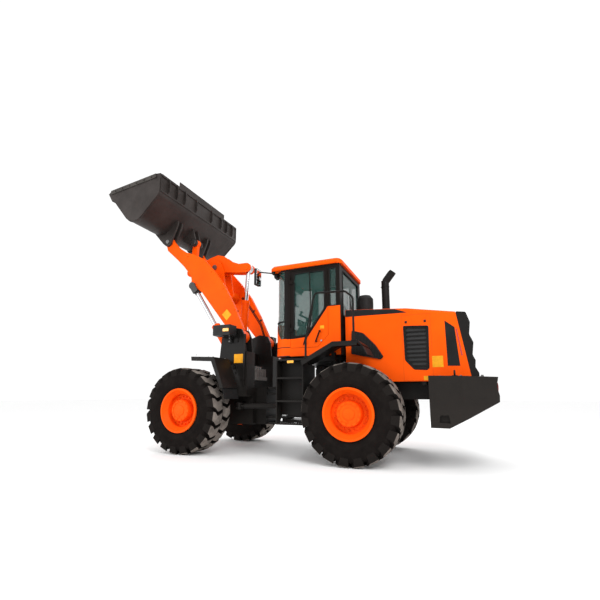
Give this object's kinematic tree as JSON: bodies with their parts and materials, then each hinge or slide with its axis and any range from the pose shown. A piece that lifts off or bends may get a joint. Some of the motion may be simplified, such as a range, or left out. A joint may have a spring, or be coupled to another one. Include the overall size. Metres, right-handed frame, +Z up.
{
  "type": "articulated wheel loader",
  "caption": "Articulated wheel loader with raised bucket, Z-bar boom linkage, enclosed cab, engine hood and rear counterweight on four large tyres.",
  "frame": {"origin": "on the ground under the vertical hinge between the half frames, at the middle of the machine's length and width", "axes": "+X forward, to the bucket; +Y to the machine's left; +Z up"},
  "size_m": [7.4622, 2.964, 5.7661],
  "materials": {
    "orange_paint": "gloss paint with light dust",
    "black_paint": "satin black paint",
    "dark_grey_paint": "worn dark paint",
    "cast_grey": "satin casting",
    "tyre": "dull rubber",
    "chrome": "polished rod",
    "steel": "machined pin",
    "glass": "clear, lightly tinted",
    "mirror": "mirror",
    "lamp": "lamp plastic",
    "seat_fabric": "woven",
    "black_plastic": "matt"
  },
  "bodies": {
    "rear_body": {"rear_frame": "black_paint", "rear_axle": "black_paint", "engine_block": "cast_grey", "side_tanks": "black_paint", "hood": "orange_paint", "hood_side_grilles": "black_paint", "rear_grille": "black_paint", "counterweight": "dark_grey_paint", "tail_lamps": "lamp", "exhaust_stack": "black_paint", "air_precleaner": "black_plastic", "rear_fenders": "black_paint", "steps": "black_paint", "handrails": "black_paint", "cab_floor": "black_paint", "cab_front": "orange_paint", "cab_sides": "orange_paint", "cab_rear": "black_paint", "cab_roof": "orange_paint", "cab_glass": "glass", "seat": "seat_fabric", "steering_console": "black_plastic", "mirrors": "black_plastic", "roof_lamps": "lamp"},
    "front_body": {"front_frame": "black_paint", "front_axle": "black_paint", "front_fenders": "black_paint", "head_lamps": "black_plastic", "boom_lock_bars": "dark_grey_paint"},
    "boom": {"boom_arm_left": "orange_paint", "boom_arm_right": "orange_paint", "boom_crossmember": "orange_paint"},
    "bucket_hinge": {"bucket_pins": "steel"},
    "bucket": {"bucket_shell": "dark_grey_paint", "cutting_edge": "dark_grey_paint"},
    "rocker_shaft": {"rocker_pin": "steel"},
    "rocker_lever": {"rocker": "orange_paint"},
    "link_shaft": {"link_pin": "steel"},
    "link_bar": {"link": "orange_paint"},
    "tilt_shaft": {"tilt_pin": "steel"},
    "tilt_cylinder": {"tilt_barrel": "orange_paint"},
    "tilt_piston": {"tilt_rod": "chrome"},
    "cab_door": {"door": "black_paint", "door_glass": "glass"},
    "wheel_front_left": {"tyre_front_left": "tyre", "rim_front_left": "orange_paint"},
    "wheel_front_right": {"tyre_front_right": "tyre", "rim_front_right": "orange_paint"},
    "wheel_rear_left": {"tyre_rear_left": "tyre", "rim_rear_left": "orange_paint"},
    "wheel_rear_right": {"tyre_rear_right": "tyre", "rim_rear_right": "orange_paint"},
    "lift_cylinder_left": {"lift_barrel_left": "orange_paint"},
    "lift_piston_left": {"lift_rod_left": "chrome"},
    "steer_cylinder_left": {"steer_barrel_left": "black_paint"},
    "steer_piston_left": {"steer_rod_left": "chrome"},
    "lift_cylinder_right": {"lift_barrel_right": "orange_paint"},
    "lift_piston_right": {"lift_rod_right": "chrome"},
    "steer_cylinder_right": {"steer_barrel_right": "black_paint"},
    "steer_piston_right": {"steer_rod_right": "chrome"}
  },
  "joints": [
    {"name": "articulation", "type": "hinge", "parent": "rear_body", "child": "front_body", "pos_m": [0, 0, 1.1], "axis": [0, 0, 1], "range_deg": [-35, 35]},
    {"name": "wheel_spin_front_left", "type": "hinge", "parent": "front_body", "child": "wheel_front_left", "pos_m": [1.6, 1.08, 0.788], "axis": [0, 1, 0], "continuous": true},
    {"name": "wheel_spin_front_right", "type": "hinge", "parent": "front_body", "child": "wheel_front_right", "pos_m": [1.6, -1.08, 0.788], "axis": [0, 1, 0], "continuous": true},
    {"name": "wheel_spin_rear_left", "type": "hinge", "parent": "rear_body", "child": "wheel_rear_left", "pos_m": [-1.6, 1.08, 0.788], "axis": [0, 1, 0], "continuous": true},
    {"name": "wheel_spin_rear_right", "type": "hinge", "parent": "rear_body", "child": "wheel_rear_right", "pos_m": [-1.6, -1.08, 0.788], "axis": [0, 1, 0], "continuous": true},
    {"name": "boom_lift", "type": "hinge", "parent": "front_body", "child": "boom", "pos_m": [0.79, 0, 2.22], "axis": [0, 1, 0], "range_deg": [0, 92]},
    {"name": "bucket_hinge_turn", "type": "hinge", "parent": "boom", "child": "bucket_hinge", "pos_m": [2.75974, 0, 4.51976], "axis": [0, 1, 0], "range_deg": [-84, 1]},
    {"name": "bucket_tilt", "type": "hinge", "parent": "bucket_hinge", "child": "bucket", "pos_m": [2.75974, 0, 4.51976], "axis": [0, -1, 0], "range_deg": [-90, 0]},
    {"name": "rocker_shaft_turn", "type": "hinge", "parent": "boom", "child": "rocker_shaft", "pos_m": [1.78009, 0, 3.91709], "axis": [0, 1, 0], "range_deg": [-1, 35]},
    {"name": "rocker_turn", "type": "hinge", "parent": "rocker_shaft", "child": "rocker_lever", "pos_m": [1.78009, 0, 3.91709], "axis": [0, 1, 0], "range_deg": [-29, 1]},
    {"name": "link_shaft_turn", "type": "hinge", "parent": "bucket", "child": "link_shaft", "pos_m": [2.45945, 0, 4.65817], "axis": [0, 1, 0], "range_deg": [-1, 101]},
    {"name": "link_turn", "type": "hinge", "parent": "link_shaft", "child": "link_bar", "pos_m": [2.45945, 0, 4.65817], "axis": [0, 1, 0], "range_deg": [-48, 1]},
    {"name": "tilt_shaft_turn", "type": "hinge", "parent": "front_body", "child": "tilt_shaft", "pos_m": [1.113, 0, 2.1], "axis": [0, 1, 0], "range_deg": [-1, 103]},
    {"name": "tilt_cylinder_turn", "type": "hinge", "parent": "tilt_shaft", "child": "tilt_cylinder", "pos_m": [1.113, 0, 2.1], "axis": [0, 1, 0], "range_deg": [-1, 5]},
    {"name": "tilt_piston_slide", "type": "slide", "parent": "tilt_cylinder", "child": "tilt_piston", "axis": [-0.0728, 0, 0.9973], "range_m": [-0.37, 0.001]},
    {"name": "lift_cylinder_turn_left", "type": "hinge", "parent": "front_body", "child": "lift_cylinder_left", "pos_m": [0.83, 0.55, 1.6], "axis": [0, 1, 0], "range_deg": [-1, 88]},
    {"name": "lift_piston_slide_left", "type": "slide", "parent": "lift_cylinder_left", "child": "lift_piston_left", "axis": [0.5511, 0, 0.8345], "range_m": [-0.884, 0.001]},
    {"name": "steer_cylinder_turn_left", "type": "hinge", "parent": "front_body", "child": "steer_cylinder_left", "pos_m": [0.76, 0.62, 0.86], "axis": [0, 0, 1], "range_deg": [-7, 7]},
    {"name": "steer_piston_slide_left", "type": "slide", "parent": "steer_cylinder_left", "child": "steer_piston_left", "axis": [-0.9802, -0.1978, 0], "range_m": [-0.272, 0.272]},
    {"name": "lift_cylinder_turn_right", "type": "hinge", "parent": "front_body", "child": "lift_cylinder_right", "pos_m": [0.83, -0.55, 1.6], "axis": [0, 1, 0], "range_deg": [-1, 88]},
    {"name": "lift_piston_slide_right", "type": "slide", "parent": "lift_cylinder_right", "child": "lift_piston_right", "axis": [0.5511, 0, 0.8345], "range_m": [-0.884, 0.001]},
    {"name": "steer_cylinder_turn_right", "type": "hinge", "parent": "front_body", "child": "steer_cylinder_right", "pos_m": [0.76, -0.62, 0.86], "axis": [0, 0, 1], "range_deg": [-7, 7]},
    {"name": "steer_piston_slide_right", "type": "slide", "parent": "steer_cylinder_right", "child": "steer_piston_right", "axis": [-0.9802, 0.1978, 0], "range_m": [-0.272, 0.272]},
    {"name": "cab_door_swing", "type": "hinge", "parent": "rear_body", "child": "cab_door", "pos_m": [-0.367, 0.767, 2.7], "axis": [0, 0, -1], "range_deg": [0, 85]}
  ],
  "couplings": [
    {"joint": "bucket_hinge_turn", "follows": "boom_lift", "ratio": -0.83696},
    {"joint": "rocker_shaft_turn", "follows": "boom_lift", "ratio": 0.34837},
    {"joint": "rocker_turn", "follows": "bucket_tilt", "ratio": 0.30978},
    {"joint": "link_shaft_turn", "follows": "boom_lift", "ratio": 1.0128},
    {"joint": "link_turn", "follows": "bucket_tilt", "ratio": 0.51822},
    {"joint": "tilt_shaft_turn", "follows": "boom_lift", "ratio": 1.1054},
    {"joint": "tilt_cylinder_turn", "follows": "bucket_tilt", "ratio": -0.04722},
    {"joint": "tilt_piston_slide", "follows": "bucket_tilt", "m_per_rad": 0.23358},
    {"joint": "lift_cylinder_turn_left", "follows": "boom_lift", "ratio": 0.94787},
    {"joint": "lift_piston_slide_left", "follows": "boom_lift", "m_per_rad": -0.54988},
    {"joint": "steer_cylinder_turn_left", "follows": "articulation", "ratio": -0.19414},
    {"joint": "steer_piston_slide_left", "follows": "articulation", "m_per_rad": -0.44296},
    {"joint": "lift_cylinder_turn_right", "follows": "boom_lift", "ratio": 0.94787},
    {"joint": "lift_piston_slide_right", "follows": "boom_lift", "m_per_rad": -0.54988},
    {"joint": "steer_cylinder_turn_right", "follows": "articulation", "ratio": -0.19414},
    {"joint": "steer_piston_slide_right", "follows": "articulation", "m_per_rad": 0.44296}
  ]
}
